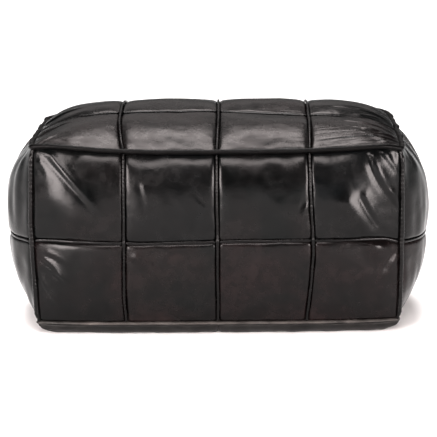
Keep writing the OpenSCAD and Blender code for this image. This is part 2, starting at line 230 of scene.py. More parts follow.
def stuffing_relief():
    """The fine part of what the simulation adds, scaled down, on each face's lattice: puffs and puckers."""
    numbers = {face: lattice(face) for face in FACES}
    used, at = np.unique(np.concatenate([n.ravel() for n in numbers.values()]), return_inverse=True)
    places, quads, spot, index = np.zeros((len(used), 3)), [], 0, {}
    for face, n in numbers.items():
        index[face] = at[spot : spot + n.size].reshape(n.shape)
        spot += n.size
        rows, cols = n.shape
        u, v = np.meshgrid(np.linspace(-1, 1, cols), np.linspace(-1, 1, rows))
        places[index[face]] = np.stack(on_face(face, u, v), -1)
        g = index[face]
        quads.append(np.stack([g[:-1, :-1], g[:-1, 1:], g[1:, 1:], g[1:, :-1]], -1).reshape(-1, 4))
    a, b, c = places.T
    quads = np.concatenate(quads)
    on_a, on_b, on_c = (np.abs(np.abs(t) - 1) < 1e-6 for t in (a, b, c))
    edge = on_a.astype(int) + on_b + on_c >= 2
    column = np.abs(np.abs(a) % 0.5) < 1e-6
    middle_b, middle_c = np.abs(b) < 1e-6, np.abs(c) < 1e-6
    seam = edge | (~on_a & (c > -1) & column) | (on_a & middle_b) | ((c == 1) & middle_b) | (~on_c & middle_c)
    start = skin(a, b, c)
    cut = CUT_SHARE * SQUARE
    rest = np.stack([a * 2 * cut, b * cut, c * cut + TOP_Z / 2], -1)
    moved = inflate(start, rest, quads, seam) - start
    beside = [set() for _ in used]
    for q in quads.tolist():
        for m in range(4):
            beside[q[m]].add(q[m - 1])
            beside[q[m - 1]].add(q[m])
    near = np.array([(sorted(s) + [m] * 4)[:4] for m, s in enumerate(beside)])
    broad = moved.copy()
    for _ in range(BROAD_PASSES):
        broad = 0.5 * broad + 0.5 * broad[near].mean(1)
    detail = moved - broad
    for _ in range(2):
        detail = 0.5 * detail + 0.5 * detail[near].mean(1)
    # The box's own edges stay where the CAD has them
    inward = [(1 - np.abs(a)) * HALF_L, (1 - np.abs(b)) * HALF_D, (1 - np.abs(c)) * WALL / 2]
    from_edge = np.sort(np.stack(inward), 0)[1]
    detail *= (EDGE_DETAIL + INNER_DETAIL * smooth(from_edge / DETAIL_FADE))[:, None]
    low_share = np.where(c < 0, 0.45 + 0.55 * smooth(c + 1), 1)
    base_share = np.where(on_c & (c < 0), 0.1, 1)
    detail *= (low_share * base_share)[:, None]
    detail *= np.where(on_b, 1 - 0.6 * smooth((c - 0.3) / 0.35), 1)[:, None]
    return {face: detail[g] for face, g in index.items()}


RELIEF = stuffing_relief()


def cubic(at, cells):
    """Catmull-Rom weights that read values at places from -1 to 1 off cells + 1 even nodes."""
    t = (np.asarray(at, float) + 1) / 2 * cells
    k = np.clip(np.floor(t).astype(int), 0, cells - 1)
    f = t - k
    weights = np.zeros((len(t), cells + 1))
    parts = [
        -0.5 * f + f**2 - 0.5 * f**3,
        1 - 2.5 * f**2 + 1.5 * f**3,
        0.5 * f + 2 * f**2 - 1.5 * f**3,
        -0.5 * f**2 + 0.5 * f**3,
    ]
    for m, part in enumerate(parts):
        np.add.at(weights, (np.arange(len(t)), np.clip(k + m - 1, 0, cells)), part)
    return weights


def hump(t, middle, width):
    return np.exp(-(((t - middle) / width) ** 2))


def sway(a, b, c):
    """How far hand sewing and uneven filling pull the seams of this one pouf off their even places."""
    on_top, front = smooth((c - 0.9) / 0.1), smooth((-b - 0.8) / 0.2)
    open_top = on_top * bow(b, 2) * bow(a, 4)
    right = smooth((a + 0.1) / 0.6)
    x = open_top * (-0.010 * hump(a, -0.5, 0.28) + 0.003 * hump(a, 0, 0.25))
    x = x + front * hump(a, 0.5, 0.3) * (0.005 * hump(c, -0.1, 0.45) - 0.0035 * hump(c, -1, 0.3))
    x = x - front * hump(a, -0.5, 0.3) * 0.003 * hump(c, -0.6, 0.5)
    x = x - front * hump(a, -1, 0.25) * 0.0035 * hump(c, 0.1, 0.55)
    y = -0.012 * open_top * right
    z = -0.005 * open_top * right * hump(b, 0, 0.25)
    z = z - 0.0035 * front * hump(a, -0.45, 0.4) * hump(c, 0, 0.35)
    z = z - 0.004 * smooth((a - 0.9) / 0.1) * hump(c, 0, 0.4)
    return np.stack(np.broadcast_arrays(x, y, z), -1)


def cover_grid(face, us, vs):
    """Points of a face's grid of us by vs: the CAD's shape, the seams' sway and the simulated relief."""
    u, v = np.meshgrid(us, vs)
    relief = RELIEF[face]
    rows, cols = relief.shape[0] - 1, relief.shape[1] - 1
    added = np.einsum("ij,jkc,lk->ilc", cubic(vs, rows), relief, cubic(us, cols))
    cube = on_face(face, u, v)
    return skin(*cube) + sway(*cube) + added


def normals(points):
    """Unit normals of a grid of points, rows up and columns to the right as seen from outside."""
    n = np.cross(np.gradient(points, axis=1), np.gradient(points, axis=0))
    return n / np.maximum(np.linalg.norm(n, axis=-1, keepdims=True), 1e-12)


# ---------------------------------------------------------------- leather relief


def ripple(x, y, size, seed):
    """Smooth seeded noise, about -1 to 1, whose bumps are about size across."""
    r = np.random.default_rng(seed)
    total = 0
    for _ in range(9):
        angle, phase, stretch = r.uniform(0, math.tau), r.uniform(0, math.tau), r.uniform(0.7, 1.5)
        across = x * math.cos(angle) + y * math.sin(angle)
        total = total + np.sin(math.tau * across / (size * stretch) + phase)
    return total / 4.5


def fold(x, y, start, end, bend, width, depth, fade=0.7):
    """A crease that bows sideways by bend: a sharp valley with a soft ridge along one side."""
    (x0, y0), (x1, y1) = start, end
    length = math.hypot(x1 - x0, y1 - y0)
    dx, dy = (x1 - x0) / length, (y1 - y0) / length
    s = ((x - x0) * dx + (y - y0) * dy) / length
    d = (x - x0) * -dy + (y - y0) * dx - bend * (1 - (2 * s - 1) ** 2)
    t = d / width
    profile = np.exp(-(((t - 1.0) / 0.9) ** 2)) - 0.9 * np.exp(-((t / 0.42) ** 2))
    taper = smooth(s / 0.12) * smooth((1 - s) / fade)
    return depth * profile * taper


def swell(x, y, start, end, width, height):
    """A soft ridge from start to end, or a mound when they are close."""
    (x0, y0), (x1, y1) = start, end
    length = math.hypot(x1 - x0, y1 - y0)
    dx, dy = (x1 - x0) / length, (y1 - y0) / length
    s = (x - x0) * dx + (y - y0) * dy
    past = np.maximum(np.abs(s - length / 2) - length / 2, 0)
    d = (x - x0) * -dy + (y - y0) * dx
    return height * np.exp(-((d / width) ** 2) - (past / width) ** 2)


def gathers(along, inward, reach, pitch, depth, seed, slant=0.0):
    """Wrinkles that run inward from a seam, pitch apart along it, and die out over reach."""
    r = np.random.default_rng(seed)
    fan = along + slant * inward + 0.12 * pitch * ripple(along, inward, 6 * pitch, seed + 1)
    total = 0
    for _ in range(5):
        wave = pitch * r.uniform(0.75, 1.6)
        crest = np.sin(math.tau * fan / wave + r.uniform(0, math.tau))
        total = total + (crest - 0.35 * np.cos(2 * math.tau * fan / wave)) / 5
    length = reach * (1 + 0.45 * ripple(along, 0 * along, 4 * pitch, seed + 2))
    strength = np.clip(0.55 + 0.6 * ripple(along, 0 * along, 5 * pitch, seed + 3), 0.05, 1.3)
    return depth * total * strength * np.exp(-((inward / np.maximum(length, 0.01)) ** 2))


# Creases of the front, each with its start, end, sideways bow, width and depth, in metres on the face
FRONT_FOLDS = [
    ((-0.292, 0.143), (-0.158, 0.004), 0.004, 0.0070, 0.0017),
    ((-0.276, 0.140), (-0.205, 0.072), -0.005, 0.0050, 0.0011),
    ((-0.296, 0.122), (-0.272, 0.090), 0.004, 0.0060, 0.0010),
    ((0.241, 0.143), (0.304, 0.042), -0.012, 0.0095, 0.0027),
    ((0.257, 0.142), (0.299, 0.080), 0.004, 0.0050, 0.0014),
    ((0.270, 0.080), (0.294, 0.030), 0.005, 0.0060, 0.0016),
    ((0.226, 0.078), (0.284, -0.006), -0.006, 0.0085, 0.0020),
    ((-0.292, -0.028), (-0.238, -0.100), 0.008, 0.0056, 0.0020),
    ((-0.288, -0.050), (-0.226, -0.090), 0.006, 0.0048, 0.0016),
    ((-0.294, -0.062), (-0.248, -0.124), -0.008, 0.0058, 0.0018),
    ((-0.282, -0.024), (-0.240, -0.046), 0.004, 0.0048, 0.0013),
    ((-0.146, -0.024), (-0.088, -0.088), 0.006, 0.0095, 0.0015),
    ((0.294, -0.016), (0.262, -0.086), -0.008, 0.0080, 0.0018),
    ((0.140, 0.066), (0.122, 0.006), -0.005, 0.0060, 0.0014),
    ((-0.012, 0.056), (-0.040, 0.086), 0.003, 0.0040, 0.0009),
    ((-0.008, 0.030), (-0.022, 0.004), 0.002, 0.0044, 0.0011),
    ((-0.126, 0.100), (-0.116, 0.030), 0.003, 0.0070, 0.0012),
]
TOP_FOLDS = [
    ((0.296, -0.052), (0.150, -0.016), 0.006, 0.0040, 0.0020),
    ((0.297, -0.088), (0.190, -0.050), 0.005, 0.0050, 0.0024),
    ((0.297, -0.020), (0.160, 0.018), 0.004, 0.0045, 0.0019),
    ((0.296, 0.030), (0.165, 0.040), -0.006, 0.0050, 0.0022),
    ((0.150, 0.010), (0.010, 0.022), 0.003, 0.0035, 0.0008),
    ((-0.296, -0.070), (-0.215, -0.036), 0.006, 0.0055, 0.0018),
    ((-0.296, 0.040), (-0.200, 0.046), -0.006, 0.0055, 0.0018),
    ((0.290, -0.140), (0.225, -0.085), -0.007, 0.0065, 0.0022),
    ((-0.290, -0.140), (-0.230, -0.092), 0.006, 0.0065, 0.0018),
]
# Places where the filling pushes the front out, each with its two ends, width and height
FRONT_SWELLS = [
    ((-0.258, 0.064), (-0.236, 0.044), 0.037, 0.0056),
    ((0.208, 0.062), (0.260, -0.014), 0.0170, 0.0054),
    ((-0.100, -0.070), (-0.060, -0.080), 0.040, 0.0012),
    ((0.060, -0.060), (0.090, -0.080), 0.040, 0.0010),
]


def relief(face, x, y):
    """Height of the creases and waves in a face's leather, at x and y in metres from its middle."""
    wide, tall = half_size(face)
    seed = 100 * FACES.index(face)
    h = 0.0006 * ripple(x, y, 0.085, seed + 1) + 0.00010 * ripple(x, y, 0.024, seed + 2)
    folds = {"front": FRONT_FOLDS, "top": TOP_FOLDS}.get(face, [])
    if face == "back":
        folds = [((-s[0], s[1]), (-e[0], e[1]), -b, w, 0.8 * d) for s, e, b, w, d in FRONT_FOLDS[:9]]
    for start, end, bend, width, depth in folds:
        h = h + fold(x, y, start, end, bend, width, depth)
    if face == "front":
        for start, end, width, height in FRONT_SWELLS:
            h = h + swell(x, y, start, end, width, height)
    if face == "top":
        h = h + gathers(y, wide - x, 0.105, 0.0095, 0.0017, seed + 3, 0.12)
        h = h + gathers(y, wide - x, 0.080, 0.021, 0.0016, seed + 7, 0.12)
        h = h + gathers(y, wide + x, 0.060, 0.018, 0.0015, seed + 4)
        h = h + gathers(x, tall - np.abs(y), 0.020, 0.028, 0.0006, seed + 5)
    elif face in ("right", "left"):
        h = h + gathers(x, tall - y, 0.085, 0.026, 0.0022, seed + 3)
        h = h + gathers(x, tall + y, 0.050, 0.030, 0.0013, seed + 4)
        h = h + 0.0008 * ripple(x, y * 0.35, 0.030, seed + 5)
    elif face == "base":
        h = h * 0
    else:
        corner = np.exp(-(((wide - np.abs(x)) / 0.07) ** 2))
        h = h + gathers(x, tall - y, 0.022, 0.024, 0.0011, seed + 3) * (0.45 + corner)
        h = h + gathers(y, wide - np.abs(x), 0.026, 0.026, 0.0010, seed + 4)
        h = h + gathers(x, tall + y, 0.018, 0.030, 0.0005, seed + 5)
        h = h + 0.00034 * ripple(x, 0.22 * y, 0.024, seed + 6) * smooth((0.01 - y) / 0.05)
    return h


# ---------------------------------------------------------------- meshes


def add_mesh(name, points, faces, material, body="root"):
    mesh = bpy.data.meshes.new(name)
    mesh.from_pydata(np.asarray(points).tolist(), [], np.asarray(faces).tolist())
    mesh.polygons.foreach_set("use_smooth", [True] * len(mesh.polygons))
    mesh.materials.append(material)
    mesh.update()
    piece = bpy.data.objects.new(name, mesh)
    bpy.context.scene.collection.objects.link(piece)
    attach(piece, body)
    return piece


def shell(outer, inner):
    """Points and quads of a closed sheet between two grids of points."""
    rows, cols = outer.shape[:2]
    n = np.arange(rows * cols).reshape(rows, cols)
    top = np.stack([n[:-1, :-1], n[:-1, 1:], n[1:, 1:], n[1:, :-1]], -1).reshape(-1, 4)
    rim = np.concatenate([n[0, :-1], n[:-1, -1], n[-1, :0:-1], n[:0:-1, 0]])
    after = np.roll(rim, -1)
    count = rows * cols
    walls = np.stack([rim, rim + count, after + count, after], -1)
    faces = np.concatenate([top, top[:, ::-1] + count, walls])
    return np.concatenate([outer.reshape(-1, 3), inner.reshape(-1, 3)]), faces


def spread(length, near, far, step, edge=0.020):
    """Places across a square, from near to length - far, closer together towards its seams."""
    close = edge * (np.arange(10) / 9) ** 1.7
    middle = np.linspace(near + edge, length - far - edge, int((length - near - far - 2 * edge) / step) + 1)
    return np.concatenate([near + close[:-1], middle, (length - far - close[:-1])[::-1]])


# The width over which a square's edge rolls down, half the gap at a seam, and the depth of the roll
ROLL = 0.0078
SEAM_GAP, SEAM_TUCK = 0.0009, 0.0046
# The gap and the depth at an edge of the box
EDGE_GAP, EDGE_TUCK = 0.0027, 0.0024
# The long sides' leather turns in towards the top edge
SHOULDER_REACH, SHOULDER_DROP = 0.026, 0.0036
PUFF = 0.0024  # how far a square's middle stands out
STEP, TOP_STEP = 0.0034, 0.0018  # mesh size along a square, finer across the top


def square_grid(face, column, row):
    """A square's outer points, and their normals, with its edges rolled down into the seams."""
    wide, tall = half_size(face)
    n = columns(face)
    left, right = -1 + 2 * column / n, -1 + 2 * (column + 1) / n
    low, high = row - 1, row
    gaps = [
        EDGE_GAP if column == 0 else SEAM_GAP,
        EDGE_GAP if column == n - 1 else SEAM_GAP,
        EDGE_GAP if row == 0 else SEAM_GAP,
        EDGE_GAP if row == 1 else SEAM_GAP,
    ]
    width, height = (right - left) * wide, (high - low) * tall
    x = spread(width, gaps[0], gaps[1], STEP)
    y = spread(height, gaps[2], gaps[3], TOP_STEP if face == "top" else STEP)
    base = cover_grid(face, left + x / wide, low + y / tall)
    out = normals(base)
    across, up = np.meshgrid(x, y)
    seed = 1000 + 100 * FACES.index(face) + 10 * column + row
    wander = 0.0005 * ripple(across, up, 0.05, seed)
    from_x = np.minimum(across - gaps[0], width - gaps[1] - across) + wander
    from_y = np.minimum(up - gaps[2], height - gaps[3] - up) + wander
    in_x, in_y = (1 - np.clip(d / ROLL, 0, 1) for d in (from_x, from_y))
    turned = np.clip(np.hypot(in_x, in_y), 0, 1)
    deep_x = np.where(across < width / 2, gaps[0] == EDGE_GAP, gaps[1] == EDGE_GAP)
    deep_y = np.where(up < height / 2, gaps[2] == EDGE_GAP, gaps[3] == EDGE_GAP)
    at_edge = (deep_x * in_x**2 + deep_y * in_y**2) / np.maximum(in_x**2 + in_y**2, 1e-9)
    depth = SEAM_TUCK + (EDGE_TUCK - SEAM_TUCK) * at_edge
    tuck = -depth * (1 - np.sqrt(1 - turned**2))
    s = (across - gaps[0]) / (width - gaps[0] - gaps[1]) * 2 - 1
    t = (up - gaps[2]) / (height - gaps[2] - gaps[3]) * 2 - 1
    puff = PUFF * bow(s, 2.4) * bow(t, 2.4)
    clear = smooth(from_x / 0.010) * smooth(from_y / 0.010)
    waves = relief(face, across + left * wide, up + low * tall) * (0.15 + 0.85 * clear)
    if face in ("front", "back") and row == 1:
        uneven = 0.2 * ripple(across, 0 * across, 0.06, seed + 1)
        under_edge = np.clip((height - up) / SHOULDER_REACH + uneven, 0, 1)
        tuck = tuck - SHOULDER_DROP * (1 - under_edge) ** 2
    points = base + out * (tuck + puff + waves)[..., None]
    return points, normals(base + out * (tuck + puff)[..., None])


def leather_square(face, column, row, node, material):
    points, out = square_grid(face, column, row)
    piece = add_mesh("skin_" + node, *shell(points, points - out * LEATHER), material)
    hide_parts(node)
    return piece


def tube(centres, ups, half_w, half_h, sides=12, ring=False, tail=0.0):
    """A bead's points and quads: swept along centres, upright along ups, its underside drawn out by tail."""
    n = len(centres)
    if ring:
        along = np.roll(centres, -1, 0) - np.roll(centres, 1, 0)
    else:
        along = np.gradient(centres, axis=0)
    along /= np.linalg.norm(along, axis=1, keepdims=True)
    side = np.cross(along, ups)
    side /= np.linalg.norm(side, axis=1, keepdims=True)
    up = np.cross(side, along)
    angle = math.tau * (np.arange(sides) + 0.5) / sides
    w = np.broadcast_to(half_w, n)[:, None, None]
    h = np.broadcast_to(half_h, n)[:, None, None]
    rings = centres[:, None] + side[:, None] * w * np.cos(angle)[None, :, None]
    rise, dip = np.sin(angle), np.minimum(np.sin(angle), 0)
    rings = rings + up[:, None] * (h * rise[None, :, None] + tail * dip[None, :, None])
    spans = n if ring else n - 1
    i, k = np.meshgrid(np.arange(spans), np.arange(sides), indexing="ij")
    j, m = (i + 1) % n, (k + 1) % sides
    quads = np.stack([i * sides + k, j * sides + k, j * sides + m, i * sides + m], -1).reshape(-1, 4).tolist()
    if not ring:
        quads += [list(range(sides)), [(n - 1) * sides + k for k in range(sides - 1, -1, -1)]]
    return rings.reshape(-1, 3), quads


def joined(parts):
    """Several (points, faces) as one."""
    points, faces, count = [], [], 0
    for p, f in parts:
        points.append(np.asarray(p))
        faces += [[i + count for i in q] for q in f]
        count += len(p)
    return np.concatenate(points), faces


def add_group(name, parts, material, node):
    points, faces = joined(parts)
    mesh = bpy.data.meshes.new(name)
    mesh.from_pydata(points.tolist(), [], faces)
    mesh.polygons.foreach_set("use_smooth", [True] * len(mesh.polygons))
    mesh.materials.append(material)
    mesh.update()
    piece = bpy.data.objects.new(name, mesh)
    bpy.context.scene.collection.objects.link(piece)
    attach(piece, "root")
    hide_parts(node)
    return piece


# Half widths and heights of the welts
WELT_W, WELT_H = 0.0024, 0.0026
TOP_SHARE = 0.78  # how wide the top's long welts are beside the others
ROW_W, ROW_H = 0.0026, 0.0014
ROW_LIFT, TOP_ROW_LIFT = -0.0008, 0.0002
BASE_EDGE_W, BASE_EDGE_H = 0.0022, 0.0024
EDGE_W, EDGE_H = 0.0038, 0.0036
CORNER_W, CORNER_H = 0.0038, 0.0034
EDGE_TAIL = 0.0045  # how far the seam allowance behind an edge's welt reaches into the box
KNOT = 0.45  # how much thicker a long welt is where the short ones meet it
EDGE_STOP, COLUMN_STOP = 0.0045, 0.0026  # how far welts stop from the box's edges and from the long welts


def pinched(count, spacing, seed, size):
    """Slight swellings along a welt, from its stitches and its hand sewing."""
    s = np.arange(count) * spacing
    return size * (1 + 0.08 * np.sin(math.tau * s / 0.0068) + 0.08 * ripple(s, 0 * s, 0.045, seed))


def welt(face, line, half_w, half_h, seed, lift=0.0004):
    """A welt on a face; its line is ('u', at, low, high) if upright and ('v', at, low, high) if level."""
    axis, at, low, high = line
    wide, tall = half_size(face)
    length = (high - low) * (tall if axis == "u" else wide)
    run = np.linspace(low, high, int(length / 0.0022) + 2)
    step = 0.004
    beside = np.array([at - step, at, at + step])
    grid = cover_grid(face, beside, run) if axis == "u" else cover_grid(face, run, beside).transpose(1, 0, 2)
    centres = grid[:, 1]
    out = np.cross(grid[:, 2] - grid[:, 0], np.gradient(centres, axis=0))
    out = out if axis == "u" else -out
    out /= np.linalg.norm(out, axis=1, keepdims=True)
    side = grid[:, 2] - grid[:, 0]
    side /= np.linalg.norm(side, axis=1, keepdims=True)
    s = np.linspace(0, length, len(run))
    wander = 0.0005 * ripple(s, 0 * s, 0.06, seed)
    uneven = 0.0004 * ripple(s, 0 * s, 0.04, seed + 1)
    centres = centres + out * (lift + uneven)[:, None] + side * wander[:, None]
    ends = np.clip(np.minimum(s, length - s) / 0.004 + 0.55, 0, 1)
    spacing = length / (len(run) - 1)
    if axis == "u":
        ends = ends * (1 + KNOT * hump(run * tall, 0, 0.006))
    widths = pinched(len(run), spacing, seed, half_w) * ends
    heights = pinched(len(run), spacing, seed, half_h) * ends
    return tube(centres, out, widths, heights)


def column_welts(face, material):
    n = columns(face)
    stop = 1 - EDGE_STOP / half_size(face)[1]
    seed = 2000 + 50 * FACES.index(face)
    width = WELT_W * (TOP_SHARE if face == "top" else 1)
    parts = []
    for k in range(1, n):
        parts.append(welt(face, ("u", -1 + 2 * k / n, -stop, stop), width, WELT_H, seed + k))
    return add_group("piping_columns_" + face, parts, material, face + "_column_welts")


def row_welts(face, material):
    n = columns(face)
    wide = half_size(face)[0]
    seed = 3000 + 50 * FACES.index(face)
    lift = TOP_ROW_LIFT if face == "top" else ROW_LIFT
    parts = []
    for k in range(n):
        left = -1 + 2 * k / n + (EDGE_STOP if k == 0 else COLUMN_STOP) / wide
        right = -1 + 2 * (k + 1) / n - (EDGE_STOP if k == n - 1 else COLUMN_STOP) / wide
        parts.append(welt(face, ("v", 0, left, right), ROW_W, ROW_H, seed + k, lift))
    return add_group("piping_rows_" + face, parts, material, face + "_row_welts")


def around(c):
    """The box's outline at its top or base, once round, and the directions away from the box."""
    v = 1.0 if c > 0 else -1.0
    centres, outs = [], []
    for face in ("front", "right", "back", "left"):
        wide = half_size(face)[0]
        us = np.linspace(-1, 1, int(2 * wide / 0.0025) + 1)
        centres.append(cover_grid(face, us, [v])[0][:-1])
        level = np.array([0.0, 0.0, 0.9 if c > 0 else -0.2])
        flat = {"front": (0, -1, 0), "right": (1, 0, 0), "back": (0, 1, 0), "left": (-1, 0, 0)}[face]
        outs.append(np.repeat([np.array(flat) + level], len(us) - 1, 0))
    centres, outs = np.concatenate(centres), np.concatenate(outs)
    for _ in range(6):
        centres = 0.5 * centres + 0.25 * (np.roll(centres, 1, 0) + np.roll(centres, -1, 0))
        outs = 0.5 * outs + 0.25 * (np.roll(outs, 1, 0) + np.roll(outs, -1, 0))
    return centres, outs / np.linalg.norm(outs, axis=1, keepdims=True)


def edge_welt(c, half_w, half_h, name, node, material):
    """The welt round the top (c is 1) or the base; the top has a knob at its back left corner."""
    centres, outs = around(c)
    count = len(centres)
    turn = math.tau * np.arange(count) / count
    wave = 0.0005 * np.sin(23 * turn + 1) + 0.0004 * np.sin(41 * turn + 2) + 0.0003 * np.sin(67 * turn)
    at_end = smooth((np.abs(centres[:, 0]) - 0.290) / 0.015)
    lift = -0.0004 + wave * (0.5 + 1.2 * at_end) + 0.0006 * at_end
    knob = hump(np.hypot(centres[:, 0] + HALF_L - 0.004, centres[:, 1] - HALF_D + 0.012), 0, 0.008) * (c > 0)
    lift = lift + 0.0032 * knob
    size = 1 + 0.04 * np.sin(200 * turn) + 0.10 * at_end + 0.25 * knob
    centres = centres + outs * lift[:, None]
    bead = tube(centres, outs, half_w * size, half_h * size, ring=True, tail=EDGE_TAIL)
    return add_group(name, [bead], material, node)


def corner_welts(material):
    """Welts down the four upright edges."""
    parts = []
    run = np.linspace(-1 + 0.002 / (WALL / 2), 1 - 0.003 / (WALL / 2), 140)
    for k, (face, u) in enumerate([("front", 1), ("right", 1), ("back", 1), ("left", 1)]):
        centres = cover_grid(face, [u], run)[:, 0]
        a, b, _ = on_face(face, float(u), 0.0)
        out = np.repeat([np.array([float(a), float(b), 0.0]) / math.sqrt(2)], len(run), 0)
        s = np.linspace(0, WALL, len(run))
        wander = 0.0006 * ripple(s, 0 * s, 0.05, 4000 + k)
        side = np.array([-out[0, 1], out[0, 0], 0])
        from_end = smooth(np.minimum(s, WALL - s) / 0.016)
        centres = centres + out * (0.0035 * from_end - 0.0027)[:, None] + side * wander[:, None]
        size = pinched(len(run), WALL / len(run), 4010 + k, 1.0) * (0.72 + 0.28 * from_end)
        parts.append(tube(centres, out, CORNER_W * size, CORNER_H * size, tail=EDGE_TAIL))
    return add_group("piping_corners", parts, material, "corner_welts")


BASE_SEAM_REACH, BASE_SEAM_TUCK = 0.006, 0.0030  # how far the base's leather turns up into its cross seam


def base_inner_v(u):
    """Cube v of the base leather's inner edge, which opens out along the zip."""
    open_share = 1 - smooth((np.abs(u * HALF_L) - ZIP_HALF - 0.004) / SLOT_FADE)
    y = 0.0006 + (SLOT_HALF - 0.0006) * open_share
    return y / (HALF_D - BASE_TAPER + SIDE_BOW * bow(u, FULL_X))


def base_quarter(side, end, node, material):
    """A quarter of the base: side -1 left or 1 right, end 1 in front or -1 at the back."""
    turn = np.sin(np.radians(np.linspace(0, 82, 14)))
    by_seam = np.array([0.0006, 0.003, 0.006, 0.010, 0.015, 0.021, 0.028])
    along_zip, past_zip = np.linspace(0.038, 0.55, 44), np.linspace(0.56, 0.74, 26)
    far = np.linspace(0.75, 0.89, 10)
    us = np.concatenate([by_seam, along_zip, past_zip, far, FLAT_X + (1 - FLAT_X) * turn])
    hem_rows, slope = np.linspace(0, 0.03, 5), np.linspace(0.04, 0.26, 18)
    level = np.linspace(0.28, 0.79, 22)
    shares = np.concatenate([hem_rows, slope, level, FLAT_Y + (1 - FLAT_Y) * turn])
    u, share = np.meshgrid(us, shares)
    inner = base_inner_v(u)
    v = (inner + (1 - inner) * share) * end
    u = u * side
    points = skin(*on_face("base", u, v))
    if side * end < 0:
        points = points[:, ::-1]
    out = normals(points)
    x, y = points[..., 0], points[..., 1]
    off_floor = smooth(points[..., 2] / 0.004)
    waves = off_floor * (0.0008 * ripple(x, y, 0.05, 5000) + 0.0004 * ripple(x, y, 0.02, 5001))
    hem = 0.0009 * np.exp(-((share - 0.055) / 0.012) ** 2)
    hem = hem[:, ::-1] if side * end < 0 else hem
    points = points + out * (waves - hem * (np.abs(x) < ZIP_HALF + 0.01))[..., None]
    tucked = (1 - np.clip(np.abs(x) / BASE_SEAM_REACH, 0, 1)) ** 2
    points[..., 2] = np.maximum(points[..., 2], 0) + BASE_SEAM_TUCK * tucked
    piece = add_mesh("skin_" + node, *shell(points, points - out * LEATHER), material)
    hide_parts(node)
    return piece


def inner_body(name, depth, thickness, lump, material):
    """A closed body a depth inside the cover: a bag if it has a thickness, or a solid mass."""
    numbers = {face: lattice(face)[::2, ::2] for face in FACES}
    used, at = np.unique(np.concatenate([n.ravel() for n in numbers.values()]), return_inverse=True)
    points, faces, spot = np.zeros((len(used), 3)), [], 0
    for face, n in numbers.items():
        g = at[spot : spot + n.size].reshape(n.shape)
        spot += n.size
        rows, cols = n.shape
        us, vs = np.linspace(-1, 1, cols), np.linspace(-1, 1, rows)
        points[g] = cover_grid(face, us, vs)
        faces.append(np.stack([g[:-1, :-1], g[:-1, 1:], g[1:, 1:], g[1:, :-1]], -1).reshape(-1, 4))
    faces = np.concatenate(faces)
    middle = np.array([0, 0, TOP_Z / 2])
    reach = np.array([HALF_L + END_BULGE, HALF_D + SIDE_BULGE, TOP_Z / 2 + TOP_BULGE / 2])
    lifted = np.where(points[:, 2] < 0.012, 0.010 * (1 - smooth((np.abs(points[:, 1]) - 0.014) / 0.03)), 0)
    points[:, 2] += lifted
    x, y, z = points.T
    bumps = lump * ripple(x + 0.3 * z, y - 0.4 * z, 0.05, 6000)

    def moved(inset):
        return middle + (points - middle) * (1 - (inset + bumps[:, None]) / reach)

    if not thickness:
        return add_mesh(name, moved(depth), faces, material)
    both = np.concatenate([moved(depth), moved(depth + thickness)])
    return add_mesh(name, both, np.concatenate([faces, faces[:, ::-1] + len(points)]), material)


# ---------------------------------------------------------------- the zip


def coil(side, material):
    """A nylon coil, wound as a helix along the tape's edge."""
    node = "zip_coil_front" if side < 0 else "zip_coil_back"
    low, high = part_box(node)
    y, z = (low.y + high.y) / 2, (low.z + high.z) / 2
    wire, pitch = 0.00034, 0.0016
    turns = int((high.x - low.x) / pitch)
    angle = math.tau * np.arange(turns * 10 + 1) / 10
    x = low.x + wire + (high.x - low.x - 2 * wire) * angle / angle[-1]
    radius = (high.z - low.z) / 2 - wire
    centres = np.stack([x, y + side * radius * 1.05 * np.cos(angle), z + radius * np.sin(angle)], -1)
    ups = np.stack([0 * x, side * np.cos(angle), np.sin(angle)], -1)
    return add_group("coil_" + node[9:], [tube(centres, ups, wire, wire, 6)], material, node)


def tape(side, material):
    """Woven tape, sewn under the leather's edge."""
    node = "zip_tape_front" if side < 0 else "zip_tape_back"
    low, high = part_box(node)
    us = np.linspace(low.x, high.x, 200)
    vs = np.linspace(low.y + 0.0003, high.y, 10)
    x, y = np.meshgrid(us, vs)
    lower = np.stack([x, y, low.z + 0.00003 + 0.00003 * np.sin(x * 900)], -1)
    upper = lower + np.array([0, 0, 0.0005])
    piece = add_mesh("tape_" + node[9:], *shell(upper, lower), material)
    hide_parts(node)
    return piece


# ---------------------------------------------------------------- materials


def new_material(name):
    material = bpy.data.materials.new(name)
    material.use_nodes = True
    nodes = material.node_tree.nodes
    return material, nodes, material.node_tree.links, nodes["Principled BSDF"]


def texture(nodes, links, kind, place, **values):
    node = nodes.new("ShaderNodeTex" + kind)
    links.new(place, node.inputs["Vector"])
    for key, value in values.items():
        node.inputs[key.replace("_", " ")].default_value = value
    return node


def ramp(nodes, links, source, stops):
    node = nodes.new("ShaderNodeValToRGB")
    links.new(source, node.inputs["Fac"])
    for k, (at, value) in enumerate(stops):
        element = node.color_ramp.elements[k] if k < 2 else node.color_ramp.elements.new(at)
        element.position = at
        element.color = (*value, 1) if isinstance(value, tuple) else (value, value, value, 1)
    return node.outputs["Color"]


def mixed(nodes, links, kind, factor, first, second):
    node = nodes.new("ShaderNodeMix")
    node.data_type = "RGBA"
    node.blend_type = kind
    for socket, value in ((node.inputs["Factor"], factor), (node.inputs[6], first), (node.inputs[7], second)):
        if isinstance(value, bpy.types.NodeSocket):
            links.new(value, socket)
        elif isinstance(value, tuple):
            socket.default_value = (*value, 1)
        else:
            socket.default_value = value
    return node.outputs[2]


def bump(nodes, links, height, strength, distance, below=None):
    node = nodes.new("ShaderNodeBump")
    links.new(height, node.inputs["Height"])
    node.inputs["Strength"].default_value = strength
    node.inputs["Distance"].default_value = distance
    if below is not None:
        links.new(below, node.inputs["Normal"])
    return node.outputs["Normal"]


